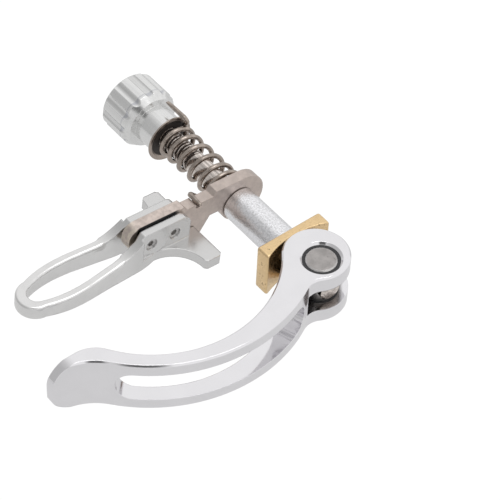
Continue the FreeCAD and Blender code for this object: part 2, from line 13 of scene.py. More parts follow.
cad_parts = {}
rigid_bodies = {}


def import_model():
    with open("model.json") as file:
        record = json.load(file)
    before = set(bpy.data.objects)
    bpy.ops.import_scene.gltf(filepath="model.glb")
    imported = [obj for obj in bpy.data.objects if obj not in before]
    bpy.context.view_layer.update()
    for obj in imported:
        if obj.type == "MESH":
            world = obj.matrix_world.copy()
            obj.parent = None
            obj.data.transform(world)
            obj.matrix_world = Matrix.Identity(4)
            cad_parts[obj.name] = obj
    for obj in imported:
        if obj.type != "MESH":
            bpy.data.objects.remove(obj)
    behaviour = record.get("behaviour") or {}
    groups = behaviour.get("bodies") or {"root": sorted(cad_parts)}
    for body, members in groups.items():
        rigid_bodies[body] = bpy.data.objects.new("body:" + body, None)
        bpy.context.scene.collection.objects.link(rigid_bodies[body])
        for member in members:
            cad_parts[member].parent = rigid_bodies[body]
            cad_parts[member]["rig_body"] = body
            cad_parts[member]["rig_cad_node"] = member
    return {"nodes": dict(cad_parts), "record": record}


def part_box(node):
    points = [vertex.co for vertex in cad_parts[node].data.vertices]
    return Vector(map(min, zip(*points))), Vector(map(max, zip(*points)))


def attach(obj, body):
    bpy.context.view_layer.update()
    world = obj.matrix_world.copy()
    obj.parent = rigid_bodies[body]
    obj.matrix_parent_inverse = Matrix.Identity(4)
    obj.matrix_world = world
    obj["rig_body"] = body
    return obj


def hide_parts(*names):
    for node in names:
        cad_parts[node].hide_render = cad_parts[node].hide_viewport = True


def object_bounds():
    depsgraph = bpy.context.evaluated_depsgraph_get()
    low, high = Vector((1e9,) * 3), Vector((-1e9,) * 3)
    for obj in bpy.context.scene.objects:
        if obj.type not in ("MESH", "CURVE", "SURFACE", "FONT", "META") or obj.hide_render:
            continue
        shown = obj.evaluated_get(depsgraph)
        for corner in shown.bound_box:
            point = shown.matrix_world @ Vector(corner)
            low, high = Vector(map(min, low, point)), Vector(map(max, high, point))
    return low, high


bl_info = {
    "name": "Seatpost clamp dressing",
    "version": (1, 0, 0),
    "blender": (4, 5, 0),
    "location": "3D View > Sidebar > Clamp",
    "description": "Dresses a quick-release seatpost clamp and sets it on a studio stage",
    "category": "Object",
}

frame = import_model()
CAD_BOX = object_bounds()
MM = 0.001

# Body of each node, read from the imported record
BODY_OF = {node: body for body, nodes in frame["record"]["behaviour"]["bodies"].items() for node in nodes}

# Places in the finishes, in millimetres: a pair says where a change begins and where it is complete

# Oily film and painted shade in the lever's fork: by distance from the pin, within the gap, and up to a limit
# near the rim
OIL_SHADE_REACH = (8.2, 5.5)
FORK_HALF_GAP = 3.6
OIL_SHADE_LIMIT = (6.0, 4.6)
# Direction in X and Y in which that limit is measured from the pin
RIMWARD = (0.66, 0.75)

# Handle along Y, from the finger loop to the darker cheeks
CHEEK_START = (-38.0, -33.0)

# Knob: where the flutes and the cone behind them end, measured from the face, and the cone's outline
FLUTE_END = 7.7
CONE_END = 10.7
CONE_RADIUS = 9.0
CONE_SLOPE = 0.6
NECK_RADIUS = 6.6
# Shade in the flutes, and in the scallops that they cut in the cone, by depth
FLUTE_DEPTH = (0.25, 0.7)
SCALLOP_DEPTH = (0.2, 0.7)

# Latch plate along Y: the paler tail, its straw end, and the painted shade in the gap where the near cheek
# stands against it
TAIL_START = (-14.0, -20.0)
STRAW_START = (-30.0, -32.5)
GAP_SHADE_START = (-18.0, -20.0)
GAP_SHADE_END = (-32.0, -30.5)
GAP_SHADE_DEPTH = (0.2, 0.08)

# Painted contact shadow on the sleeve beside the plate, the cup's bare rim and the painted highlight on the
# pin's rim
CONTACT_SHADOW = (0.35, 0.1)
CUP_RIM = (1.45, 1.2)
PIN_RIM_HIGHLIGHT = (0.5, 0.2)

# Oily darkening and painted shade in the thread's roots, by depth under the crest, up to the end that sits in
# the pin
ROOT_DEPTH = (0.06, 0.32)
THREAD_END = 15.0

# Sizes in the pieces, in millimetres

# Spring: how far from the plate its hook starts, the hook's nearest place along Y, and the solid's wire
HOOK_START = 1.4
HOOK_SIDE = -11.5
SOLID_WIRE = 0.59
# What subdivision leaves of the radius of a six-sided section
ROUNDING = 0.833

# Bolt: its chamfer, its core under the thread's root, and the ridge's foot inside the core
CHAMFER = 0.5
CORE_DEPTH = 0.05
FOOT_DEPTH = 0.1

# Room round the bolt and round the sleeve in the brass block
BOLT_ROOM = 0.2
SLEEVE_ROOM = 0.03

# Stage

# The point that the photograph's middle looks at, in millimetres
AIM_MM = (-9.809, -3.331, -7.145)
# Where the key lamp hangs, in metres
KEY_PLACE = (0.02, 0.12, 1.0)
# The floor's side in metres, its two greys, and a glow of this strength that is this share of what is seen
FLOOR_SIDE = 6.0
FLOOR_DARK = (0.82, 0.82, 0.82)
FLOOR_LIGHT = (0.85, 0.85, 0.85)
FLOOR_GLOW = 1.12
GLOW_SHARE = 0.8
# Strength of the white room where metal mirrors it and where it only gives light; it is seen at 1
ROOM_MIRRORED = 0.92
ROOM_DIFFUSE = 0.75
# What metal mirrors darker, the camera's lens and a grey side: by how much, and the cosines of its edge
LENS_SHADE = 0.85
LENS_EDGE = (0.955, 0.985)
GREY_SHADE = 0.45
GREY_EDGE = (0.25, 0.9)
GREY_SIDE = Vector((-0.45, -0.85, 0.25)).normalized()


def colour_property(name, description, default):
    """A colour that a user can change."""
    return FloatVectorProperty(name=name, description=description, default=default, subtype="COLOR",
                               size=3, min=0.0, max=1.0)


def length_property(name, description, default_mm):
    """A length that a user can change, given in millimetres and kept in metres."""
    return FloatProperty(name=name, description=description, default=default_mm * MM, unit="LENGTH",
                         precision=5)


def angle_property(name, description, default_degrees):
    """An angle that a user can change, given in degrees and kept in radians."""
    return FloatProperty(name=name, description=description, default=math.radians(default_degrees),
                         unit="ROTATION")


class ClampFinish(bpy.types.PropertyGroup):
    """Colours of the pieces, and the radius that light sees on their edges."""

    lever: colour_property("Lever", "Polished aluminium of the cam lever", (0.86, 0.85, 0.87))
    handle: colour_property("Handle", "Satin aluminium of the latch handle", (0.80, 0.795, 0.79))
    knob: colour_property("Knob", "Turned aluminium of the knob nut", (0.83, 0.83, 0.825))
    scallop: colour_property("Scallop", "Shade where the knob's flutes run out", (0.42, 0.43, 0.48))
    brass: colour_property("Brass", "Brass of the cam block", (0.90, 0.66, 0.37))
    sleeve: colour_property("Sleeve", "Zinc of the sleeve", (0.93, 0.93, 0.95))
    plate: colour_property("Plate", "Tumbled steel of the latch plate", (0.66, 0.57, 0.52))
    straw: colour_property("Straw", "Tempering colour at the end of the plate", (0.76, 0.70, 0.58))
    spring: colour_property("Spring", "Drawn wire of the spring and steel of its cup", (0.40, 0.345, 0.305))
    bolt: colour_property("Bolt", "Steel of the bolt", (0.56, 0.51, 0.475))
    pin: colour_property("Pin", "Ground steel of the barrel pin and the screws", (0.39, 0.37, 0.36))
    # Painted highlight on the pin's rim, and the lighter colour of the screws
    rim_highlight_and_screws: colour_property("Rim highlight and screws", "Bright rim of the pin and heads of the screws", (0.75, 0.74, 0.73))
    # Black of the pivot bushes, also used for the painted shade in the gap on the plate
    bush: colour_property("Bush", "Black of the pivot bushes, and of grime on the plate", (0.02, 0.02, 0.022))
    # Oily darkening with painted shade in the thread's roots and the fork, painted contact shadow on the
    # sleeve, and the cup's black hollow
    oil_and_shade: colour_property("Oil and shade", "Dark film in thread, cup and fork, and on the sleeve", (0.10, 0.08, 0.07))
    edge: length_property("Edge", "Radius that light sees on an edge", 0.22)
    soft_edge: length_property("Soft edge", "The same on the handle and the block", 0.5)
    fine_edge: length_property("Fine edge", "The same on the bolt and the bushes", 0.05)


class ClampForm(bpy.types.PropertyGroup):
    """Sizes of the shapes that stand for plainer solids."""

    round_edge: length_property("Rounded edge", "Radius on the edges of the finger loop", 0.6)
    loop_share: FloatProperty(name="Loop share", default=0.55, subtype="FACTOR", min=0.0, max=1.0,
                              description="Share of the handle's length with rounded edges")
    block_edge: length_property("Block edge", "Radius on the edges of the brass block", 0.7)
    block_waist: length_property("Block waist", "Thickness of the block under the cam", 2.28)
    seat_radius: length_property("Seat radius", "Radius of the seat in the block", 23.0)
    wire: length_property("Wire", "Radius of the spring's wire", 0.62)
    hook_lift: length_property("Hook lift", "How far the spring's hook stands out of its notch", 1.25)


class ClampThread(bpy.types.PropertyGroup):
    """The thread cut on the bolt."""

    pitch: length_property("Pitch", "Rise of one turn", 1.0)
    depth: length_property("Depth", "From crest to root", 0.5)
    run_out: length_property("Run-out", "Where the thread runs out on the shank, along X", -36.5)
    steps: IntProperty(name="Steps", description="Facets in one turn", default=64, min=12)


class ClampStage(bpy.types.PropertyGroup):
    """The floor, the lamp and the camera."""

    azimuth: angle_property("Azimuth", "Camera's angle round the clamp", 48.87)
    elevation: angle_property("Elevation", "Camera's angle above the floor", 48.14)
    roll: angle_property("Roll", "Camera's tilt about its own line of sight", -3.086)
    distance: length_property("Distance", "From the camera to the point it looks at", 560.0)
    lens: FloatProperty(name="Lens", description="Focal length in millimetres", default=161.25,
                        unit="CAMERA")
    floor_drop: length_property("Floor drop", "Gap under the clamp that the open lever clears", 66.0)
    key_side: length_property("Key side", "Side of the square lamp overhead", 500.0)
    key_power: FloatProperty(name="Key power", description="Power of that lamp", default=1.3,
                             unit="POWER")


class Socket:
    """A shader value that can be used in an expression."""

    def __init__(self, sheet, link):
        self.sheet = sheet
        self.link = link

    def _math(self, operation, *values):
        return self.sheet.node("ShaderNodeMath", {"operation": operation},
                               {index: value for index, value in enumerate(values)})

    def __add__(self, other):
        return self._math("ADD", self, other)

    def __radd__(self, other):
        return self._math("ADD", other, self)

    def __sub__(self, other):
        return self._math("SUBTRACT", self, other)

    def __rsub__(self, other):
        return self._math("SUBTRACT", other, self)

    def __mul__(self, other):
        return self._math("MULTIPLY", self, other)

    def __rmul__(self, other):
        return self._math("MULTIPLY", other, self)

    def __gt__(self, other):
        return self._math("GREATER_THAN", self, other)

    def __lt__(self, other):
        return self._math("LESS_THAN", self, other)

    def __pow__(self, other):
        return self._math("POWER", self, other)


class Sheet:
    """The node tree of one material or of the world."""

    def __init__(self, owner):
        self.owner = owner
        owner.use_nodes = True
        self.tree = owner.node_tree
        self.tree.nodes.clear()

    def node(self, kind, settings=None, values=None, output=0):
        """Adds a node, sets it up, fills its sockets and gives back one of its outputs."""
        made = self.tree.nodes.new(kind)
        for name, value in (settings or {}).items():
            setattr(made, name, value)
        for key, value in (values or {}).items():
            socket = made.inputs[key]
            if isinstance(value, Socket):
                self.tree.links.new(value.link, socket)
            else:
                socket.default_value = value
        return Socket(self, made.outputs[output]) if made.outputs else None

    def place(self, stretch=(1.0, 1.0, 1.0)):
        """The point on the piece in millimetres, stretched along each axis."""
        spot = self.node("ShaderNodeTexCoord", output="Object")
        return self.node("ShaderNodeMapping", None,
                         {"Vector": spot, "Scale": tuple(factor / MM for factor in stretch)})

    def along(self, axis, where):
        """One part of a point, along X, Y or Z."""
        return self.node("ShaderNodeSeparateXYZ", None, {"Vector": where}, output=axis)

    def noise(self, where, scale, detail=3.0, roughness=0.55):
        """Soft random value from 0 to 1; a scale of 1 has marks about a millimetre across."""
        return self.node("ShaderNodeTexNoise", None,
                         {"Vector": where, "Scale": scale, "Detail": detail, "Roughness": roughness})

    def step(self, value, start, end):
        """Goes smoothly from 0 at the start to 1 at the end, which may be the smaller of the two."""
        return self.node("ShaderNodeMapRange", {"interpolation_type": "SMOOTHSTEP"},
                         {"Value": value, "From Min": start, "From Max": end})

    def mix(self, share, first, second):
        """Blends two colours."""
        def full(colour):
            return colour if isinstance(colour, Socket) else (*colour[:3], 1.0)
        return self.node("ShaderNodeMix", {"data_type": "RGBA"},
                         {"Factor": share, "A": full(first), "B": full(second)}, output=2)

    def tone(self, pattern, colour, dark, light=1.0, start=0.35, end=0.65):
        """Two shades of one colour, which follow a pattern."""
        return self.mix(self.step(pattern, start, end), shaded(colour, dark), shaded(colour, light))

    def facing(self, direction, toward):
        """How far a direction points towards a given one, up to 1."""
        return self.node("ShaderNodeVectorMath", {"operation": "DOT_PRODUCT"},
                         {0: direction, 1: tuple(toward)}, output="Value")

    def relief(self, height, strength, depth_mm, edge=None):
        """Surface direction with a fine relief on it, and rounded edges where a radius is given."""
        values = {"Height": height, "Strength": strength, "Distance": depth_mm * MM}
        if edge is not None:
            values["Normal"] = self.node("ShaderNodeBevel", {"samples": 6}, {"Radius": edge})
        return self.node("ShaderNodeBump", None, values)

    def surface(self, colour, roughness, normal, metallic=1.0):
        """Ends the tree in one shader and gives back the material."""
        shader = self.node("ShaderNodeBsdfPrincipled", None,
                           {"Base Color": colour, "Roughness": roughness, "Metallic": metallic,
                            "Normal": normal})
        self.node("ShaderNodeOutputMaterial", None, {"Surface": shader})
        return self.owner


def new_sheet(name):
    """The sheet of a new, empty material."""
    return Sheet(bpy.data.materials.new(name))


def shaded(colour, factor):
    """A colour made darker or lighter."""
    return tuple(min(1.0, channel * factor) for channel in colour[:3])


def length(first, second):
    """Length of a line with these two parts."""
    return (first * first + second * second) ** 0.5


def from_bolt(sheet, where):
    """Distance from the bolt's axis."""
    return length(sheet.along("Y", where), sheet.along("Z", where))


def from_pin(sheet, where):
    """How far a point lies from the pin's axis along X and along Y."""
    low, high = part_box("barrel_pin")
    middle = (low + high) / (2 * MM)
    return sheet.along("X", where) - middle.x, sheet.along("Y", where) - middle.y


def polished_aluminium(finish):
    """Bright forging with a faint haze, fine polishing lines, and oily darkening with painted shade inside
    the fork.
    """
    sheet = new_sheet("polished_aluminium")
    where = sheet.place()
    haze = sheet.noise(where, scale=0.12, detail=2.0)
    lines = sheet.noise(sheet.place((0.25, 0.25, 6.0)), scale=1.0, detail=4.0)
    grain = sheet.noise(where, scale=5.0, detail=4.0)
    across, along = from_pin(sheet, where)
    height = sheet.along("Z", where)
    # Painted shade with oily darkening in the fork's pocket, kept off the bright rim
    oil_shade = sheet.step(length(across, along), *OIL_SHADE_REACH) * (height * height < FORK_HALF_GAP ** 2)
    oil_shade = oil_shade * sheet.step(across * RIMWARD[0] + along * RIMWARD[1], *OIL_SHADE_LIMIT)
    metal = sheet.tone(haze, finish.lever, 0.975)
    colour = sheet.mix(oil_shade * (0.55 + grain * 0.5), metal, finish.oil_and_shade)
    roughness = 0.04 + haze * 0.03 + lines * 0.03 + grain * 0.02 + oil_shade * 0.2
    normal = sheet.relief(lines * 0.6 + grain * 0.4, strength=0.12, depth_mm=0.01, edge=finish.edge)
    return sheet.surface(colour, roughness, normal)


def satin_aluminium(finish):
    """Tumbled satin with a soft grain and widely rounded edges, darker on the cheeks."""
    sheet = new_sheet("satin_aluminium")
    where = sheet.place()
    cloud = sheet.noise(where, scale=0.25)
    streaks = sheet.noise(sheet.place((1.0, 0.15, 1.0)), scale=2.0)
    grain = sheet.noise(where, scale=9.0, detail=5.0, roughness=0.7)
    cheek = sheet.step(sheet.along("Y", where), *CHEEK_START)
    metal = sheet.tone(cloud, finish.handle, 0.95, start=0.3, end=0.7)
    colour = sheet.mix(cheek, metal, shaded(finish.handle, 0.88))
    roughness = 0.1 + cheek * 0.08 + cloud * 0.05 + grain * 0.05 + streaks * 0.04
    normal = sheet.relief(grain * 0.6 + streaks * 0.4, strength=0.25, depth_mm=0.012,
                          edge=finish.soft_edge)
    return sheet.surface(colour, roughness, normal)


def turned_aluminium(finish):
    """Rings of a lathe tool round the bolt's axis, with the flutes and their ends in shade."""
    sheet = new_sheet("turned_aluminium")
    where = sheet.place()
    rings = sheet.noise(sheet.place((9.0, 0.02, 0.02)), scale=1.0, roughness=0.65)
    streaks = sheet.noise(sheet.place((0.08, 1.6, 1.6)), scale=1.0)
    grain = sheet.noise(where, scale=7.0, detail=4.0)
    low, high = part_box("knob_nut")
    behind = sheet.along("X", where) - low.x / MM
    radius = from_bolt(sheet, where)
    cone = CONE_RADIUS - (behind - FLUTE_END) * CONE_SLOPE
    scallop = (behind > FLUTE_END) * (behind < CONE_END) * (radius > NECK_RADIUS)
    scallop = scallop * sheet.step(cone - radius, *SCALLOP_DEPTH)
    valley = sheet.step(high.z / MM - radius, *FLUTE_DEPTH) * (behind < FLUTE_END)
    metal = sheet.tone(rings * 0.5 + streaks * 0.5, finish.knob, 0.9)
    metal = sheet.mix(valley * 0.4, metal, shaded(finish.knob, 0.55))
    colour = sheet.mix(scallop * 0.6, metal, finish.scallop)
    roughness = 0.14 + rings * 0.1 + grain * 0.06
    normal = sheet.relief(rings * 0.6 + streaks * 0.3 + grain * 0.1, strength=0.4, depth_mm=0.012,
                          edge=finish.edge)
    return sheet.surface(colour, roughness, normal)


def worn_brass(finish):
    """Satin brass with soft edges, small brown pits and a darker cast in places."""
    sheet = new_sheet("worn_brass")
    where = sheet.place()
    cloud = sheet.noise(where, scale=0.35, detail=4.0, roughness=0.6)
    specks = sheet.noise(where, scale=1.6, roughness=0.6)
    pits = sheet.step(specks, 0.61, 0.66) * sheet.step(cloud, 0.42, 0.55)
    brushed = sheet.noise(sheet.place((4.0, 0.5, 4.0)), scale=1.2)
    metal = sheet.tone(cloud * 0.6 + brushed * 0.4, finish.brass, 0.86)
    colour = sheet.mix(pits * 0.8, metal, shaded(finish.brass, 0.25))
    roughness = 0.17 + cloud * 0.08 + brushed * 0.08 + pits * 0.2
    normal = sheet.relief(brushed * 0.5 - pits, strength=0.3, depth_mm=0.02, edge=finish.soft_edge)
    return sheet.surface(colour, roughness, normal)


def mottled_zinc(finish):
    """Plated tube whose orange peel breaks up what it mirrors, with a painted contact shadow beside the
    plate.
    """
    sheet = new_sheet("mottled_zinc")
    where = sheet.place()
    peel = sheet.noise(where, scale=2.2, roughness=0.7)
    patch = sheet.noise(where, scale=0.4)
    mottle = sheet.step(peel, 0.42, 0.62) * (0.3 + patch * 0.3)
    metal = sheet.mix(mottle, finish.sleeve, shaded(finish.sleeve, 0.55))
    gap = sheet.along("X", where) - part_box("latch_plate")[1].x / MM
    # Painted contact shadow on the sleeve where it meets the plate
    colour = sheet.mix(sheet.step(gap, *CONTACT_SHADOW), metal, finish.oil_and_shade)
    roughness = 0.14 + patch * 0.08
    normal = sheet.relief(peel, strength=1.0, depth_mm=0.07, edge=finish.edge)
    return sheet.surface(colour, roughness, normal)


def tumbled_steel(finish):
    """Warm grey steel with a tumbled grain, dark specks, a pale tail and a straw end."""
    sheet = new_sheet("tumbled_steel")
    where = sheet.place()
    cloud = sheet.noise(where, scale=0.5, detail=4.0, roughness=0.65)
    grain = sheet.noise(where, scale=4.0, detail=4.0, roughness=0.7)
    tail = sheet.along("Y", where)
    bare = sheet.tone(tail, finish.plate, 0.93, 1.12, *TAIL_START)
    bare = sheet.mix(sheet.step(tail, *STRAW_START) * 0.7, bare, finish.straw)
    metal = sheet.mix(sheet.step(cloud, 0.35, 0.65), shaded(finish.plate, 0.8), bare)
    metal = sheet.mix(sheet.step(grain, 0.58, 0.66) * 0.45, metal, shaded(finish.plate, 0.55))
    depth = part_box("latch_plate")[1].x / MM - sheet.along("X", where)
    # Painted shade: a black line on the plate along the gap beside the near cheek
    gap_shade = sheet.step(depth, *GAP_SHADE_DEPTH) * sheet.step(tail, *GAP_SHADE_START) * sheet.step(tail, *GAP_SHADE_END)
    colour = sheet.mix(gap_shade, metal, finish.bush)
    roughness = 0.27 + cloud * 0.1 + grain * 0.08
    normal = sheet.relief(grain, strength=0.4, depth_mm=0.015, edge=finish.edge)
    return sheet.surface(colour, roughness, normal)


def cup_steel(finish):
    """Dull brown rim, with a black hollow."""
    sheet = new_sheet("cup_steel")
    where = sheet.place()
    grain = sheet.noise(where, scale=4.0, detail=4.0, roughness=0.7)
    rim = sheet.step(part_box("spring_cup")[1].y / MM - from_bolt(sheet, where), *CUP_RIM)
    metal = sheet.mix(grain, shaded(finish.spring, 0.8), shaded(finish.spring, 1.25))
    colour = sheet.mix(rim, shaded(finish.oil_and_shade, 0.4), metal)
    roughness = 0.6 - rim * 0.32 + grain * 0.05
    normal = sheet.relief(grain, strength=0.3, depth_mm=0.012, edge=finish.edge)
    return sheet.surface(colour, roughness, normal, metallic=rim)


def drawn_wire(finish):
    """Brown-grey wire with a faint grain."""
    sheet = new_sheet("drawn_wire")
    where = sheet.place()
    cloud = sheet.noise(where, scale=0.6)
    grain = sheet.noise(where, scale=8.0, detail=4.0, roughness=0.7)
    colour = sheet.tone(cloud, finish.spring, 0.8, 1.2, start=0.3, end=0.7)
    roughness = 0.15 + grain * 0.12 + cloud * 0.05
    normal = sheet.relief(grain, strength=0.35, depth_mm=0.012)
    return sheet.surface(colour, roughness, normal)


def bolt_steel(finish):
    """Steel with rings round its axis and bright streaks along it, polishing marks with painted highlight,
    and oily darkening with painted shade in the thread's roots.
    """
    sheet = new_sheet("bolt_steel")
    where = sheet.place()
    rings = sheet.noise(sheet.place((6.0, 0.05, 0.05)), scale=1.0)
    streaks = sheet.noise(sheet.place((0.06, 1.5, 1.5)), scale=1.0)
    grain = sheet.noise(where, scale=4.0, detail=4.0)
    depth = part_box("clamp_bolt")[1].z / MM - from_bolt(sheet, where)
    root = sheet.step(depth, *ROOT_DEPTH) * (sheet.along("X", where) < THREAD_END)
    # Bright streaks along the shank: polishing marks, partly painted highlight
    metal = sheet.tone(streaks * 0.7 + grain * 0.3, finish.bolt, 0.8, 1.6, start=0.4, end=0.6)
    # Oily darkening with painted shade in the thread's roots
    colour = sheet.mix(root * 0.85, metal, finish.oil_and_shade)
    roughness = 0.12 + rings * 0.1 + grain * 0.06 + root * 0.15
    normal = sheet.relief(rings, strength=0.3, depth_mm=0.01, edge=finish.fine_edge)
    return sheet.surface(colour, roughness, normal)


def ground_steel(finish):
    """Pin and screws with a few short scratches; the screws lighter all over, and a painted highlight on the
    pin's rim.
    """
    sheet = new_sheet("ground_steel")
    where = sheet.place()
    cloud = sheet.noise(where, scale=0.5)
    scratches = sheet.noise(sheet.place((0.5, 4.0, 1.0)), scale=1.3, roughness=0.6)
    scratches = sheet.step(scratches, 0.64, 0.69)
    grain = sheet.noise(where, scale=5.0, detail=4.0, roughness=0.7)
    low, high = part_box("barrel_pin")
    inside = (high.x - low.x) / (2 * MM) - length(*from_pin(sheet, where))
    metal = sheet.tone(cloud * 0.6 + grain * 0.4, finish.pin, 0.85, 1.15)
    # Painted highlight on the pin's rim; the screws, far from the pin, take the lighter colour all over
    metal = sheet.mix(sheet.step(inside, *PIN_RIM_HIGHLIGHT) * 0.7, metal, finish.rim_highlight_and_screws)
    colour = sheet.mix(scratches * 0.55, metal, shaded(finish.pin, 0.35))
    roughness = 0.3 + grain * 0.12 + scratches * 0.1
    normal = sheet.relief(grain * 0.5 - scratches, strength=0.3, depth_mm=0.012, edge=finish.edge)
    return sheet.surface(colour, roughness, normal)


def black_bush(finish):
    """Black moulded plastic."""
    sheet = new_sheet("black_bush")
    grain = sheet.noise(sheet.place(), scale=3.0, detail=4.0)
    colour = sheet.mix(grain, finish.bush, shaded(finish.bush, 1.6))
    normal = sheet.relief(grain, strength=0.3, depth_mm=0.015, edge=finish.fine_edge)
    return sheet.surface(colour, 0.38 + grain * 0.12, normal, metallic=0.0)


FINISH_OF = {
    "cam_lever": polished_aluminium, "upper_bush": black_bush, "lower_bush": black_bush,
    "barrel_pin": ground_steel, "clamp_bolt": bolt_steel, "cam_block": worn_brass, "sleeve": mottled_zinc,
    "latch_plate": tumbled_steel, "handle": satin_aluminium, "rear_handle_screw": ground_steel,
    "front_handle_screw": ground_steel, "spring": drawn_wire, "spring_cup": cup_steel,
    "knob_nut": turned_aluminium,
}


def select_only(*pieces):
    """Selects these pieces and nothing else, with the last one active."""
    bpy.ops.object.select_all(action="DESELECT")
    for piece in pieces:
        piece.select_set(True)
    bpy.context.view_layer.objects.active = pieces[-1]


def started(add, name, **sizes):
    """A new piece from a primitive, left in edit mode with all of it selected."""
    bpy.ops.object.select_all(action="DESELECT")
    add(**sizes)
    piece = bpy.context.object
    piece.name = name
    bpy.ops.object.mode_set(mode="EDIT")
    bpy.ops.mesh.select_all(action="SELECT")
    return piece


def modified(piece, kind, **settings):
    """Adds a modifier to the active piece, sets it up and applies it."""
    modifier = piece.modifiers.new(kind.lower(), kind)
    for name, value in settings.items():
        setattr(modifier, name, value)
    bpy.ops.object.modifier_apply(modifier=modifier.name)


def stand_in(piece, node):
    """Lets a new piece stand for a node, with its metal, body and slot."""
    piece.data.materials.clear()
    piece.data.materials.append(frame["nodes"][node].data.materials[0])
    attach(piece, BODY_OF[node])
    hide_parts(node)


def smooth_copy(node):
    """A copy of a node with its facets joined, which stands for it."""
    source = frame["nodes"][node]
    copy = source.copy()
    copy.data = source.data.copy()
    copy.name = node + "_smooth"
    copy.parent = None
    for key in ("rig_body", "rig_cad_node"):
        del copy[key]
    bpy.context.scene.collection.objects.link(copy)
    select_only(copy)
    bpy.ops.mesh.customdata_custom_splitnormals_clear()
    bpy.ops.object.mode_set(mode="EDIT")
    bpy.ops.mesh.select_all(action="SELECT")
    bpy.ops.mesh.remove_doubles(threshold=0.002 * MM)
    bpy.ops.mesh.tris_convert_to_quads(face_threshold=math.radians(50.0), shape_threshold=math.radians(60.0))
    bpy.ops.object.mode_set(mode="OBJECT")
    stand_in(copy, node)
    return copy


def chain(name, points):
    """Edges from point to point, each given as a place along X and a radius."""
    piece = started(bpy.ops.mesh.primitive_plane_add, name, size=MM)
    bpy.ops.mesh.merge(type="CENTER")
    bpy.ops.transform.translate(value=(points[0][0], 0.0, points[0][1]))
    for (x0, r0), (x1, r1) in zip(points, points[1:]):
        bpy.ops.mesh.extrude_region_move(TRANSFORM_OT_translate={"value": (x1 - x0, 0.0, r1 - r0)})
    bpy.ops.object.mode_set(mode="OBJECT")
    return piece


def turned(piece, steps, rise=0.0, turns=1):
    """Sweeps a chain round the bolt's axis, rising along X with each turn, and closes its open ends."""
    join = 0.001 * MM
    modified(piece, "SCREW", axis="X", angle=2 * math.pi, screw_offset=rise, iterations=turns, steps=steps,
             render_steps=steps, use_merge_vertices=True, merge_threshold=join)
    bpy.ops.object.mode_set(mode="EDIT")
    bpy.ops.mesh.select_all(action="SELECT")
    bpy.ops.mesh.remove_doubles(threshold=join)
    bpy.ops.mesh.fill_holes(sides=8)
    bpy.ops.mesh.select_all(action="SELECT")
    bpy.ops.mesh.normals_make_consistent(inside=False)
    bpy.ops.object.mode_set(mode="OBJECT")
    return piece


class OBJECT_OT_clamp_metal(bpy.types.Operator):
    """Gives every piece of the clamp its metal, and the bushes their plastic"""

    bl_idname = "object.clamp_metal"
    bl_label = "Dress the metal"

    def execute(self, context):
        made = {}
        for node, recipe in FINISH_OF.items():
            if recipe not in made:
                made[recipe] = recipe(context.scene.clamp_finish)
            materials = frame["nodes"][node].data.materials
            materials.clear()
            materials.append(made[recipe])
        return {"FINISHED"}


class OBJECT_OT_clamp_handle(bpy.types.Operator):
    """Rounds the edges of the handle's finger loop"""

    bl_idname = "object.clamp_handle"
    bl_label = "Round the finger loop"

    def execute(self, context):
        form = context.scene.clamp_form
        piece = smooth_copy("handle")
        bpy.ops.object.mode_set(mode="EDIT")
        bpy.ops.mesh.select_mode(type="EDGE")
        bpy.ops.mesh.select_all(action="SELECT")
        bpy.ops.mesh.dissolve_limited(angle_limit=math.radians(2.0))
        bpy.ops.mesh.select_all(action="DESELECT")
        bpy.ops.mesh.edges_select_sharp(sharpness=math.radians(40.0))
        bpy.ops.object.mode_set(mode="OBJECT")
        self.keep_loop(piece, form.loop_share)
        bpy.ops.object.mode_set(mode="EDIT")
        bpy.ops.mesh.bevel(offset=form.round_edge, segments=4, affect="EDGES", clamp_overlap=False)
        bpy.ops.mesh.select_mode(type="VERT")
        bpy.ops.object.mode_set(mode="OBJECT")
        bpy.ops.object.shade_smooth_by_angle(angle=math.radians(35.0))
        return {"FINISHED"}

    def keep_loop(self, piece, share):
        """Leaves only the edges of the finger loop selected, and no face."""
        low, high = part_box("handle")
        reach = low.y + share * (high.y - low.y)
        spots = piece.data.vertices
        for face in piece.data.polygons:
            face.select = False
        for edge in piece.data.edges:
            edge.select = edge.select and all(spots[index].co.y < reach for index in edge.vertices)


class OBJECT_OT_clamp_block(bpy.types.Operator):
    """Models the brass block with worn corners, its seat for the cam and its holes"""

    bl_idname = "object.clamp_block"
    bl_label = "Model the brass block"

    def execute(self, context):
        form = context.scene.clamp_form
        low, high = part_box("cam_block")
        size = high - low
        middle = (low + high) / 2
        block = started(bpy.ops.mesh.primitive_cube_add, "worn_block", size=1.0)
        bpy.ops.transform.resize(value=tuple(size), center_override=(0.0, 0.0, 0.0))
        bpy.ops.transform.translate(value=tuple(middle))
        bpy.ops.mesh.bevel(offset=form.block_edge, segments=5, affect="EDGES")
        bpy.ops.object.mode_set(mode="OBJECT")
        # Seat and bolt hole go right through; the sleeve's socket ends where the sleeve does
        seat_middle = low.x + form.block_waist + form.seat_radius
        self.bore(block, form.seat_radius, 3 * size.z, (seat_middle, 0.0, 0.0), False)
        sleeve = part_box("sleeve")[1]
        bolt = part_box("clamp_bolt")[1].z
        self.bore(block, bolt + BOLT_ROOM * MM, 4 * size.x, (middle.x, 0.0, 0.0), True)
        self.bore(block, sleeve.z + SLEEVE_ROOM * MM, 2 * (sleeve.x - low.x), (low.x, 0.0, 0.0), True)
        bpy.ops.object.shade_smooth_by_angle(angle=math.radians(30.0))
        stand_in(block, "cam_block")
        return {"FINISHED"}

    def bore(self, block, radius, depth, place, lengthwise):
        """Cuts a round hole, upright or along the bolt, with its middle at a place."""
        drill = started(bpy.ops.mesh.primitive_cylinder_add, "drill", vertices=128, radius=radius,
                        depth=depth)
        if lengthwise:
            bpy.ops.transform.rotate(value=math.pi / 2, orient_axis="Y", center_override=(0.0, 0.0, 0.0))
        bpy.ops.transform.translate(value=place)
        bpy.ops.object.mode_set(mode="OBJECT")
        select_only(block)
        modified(block, "BOOLEAN", operation="DIFFERENCE", solver="EXACT", object=drill)
        bpy.data.objects.remove(drill)


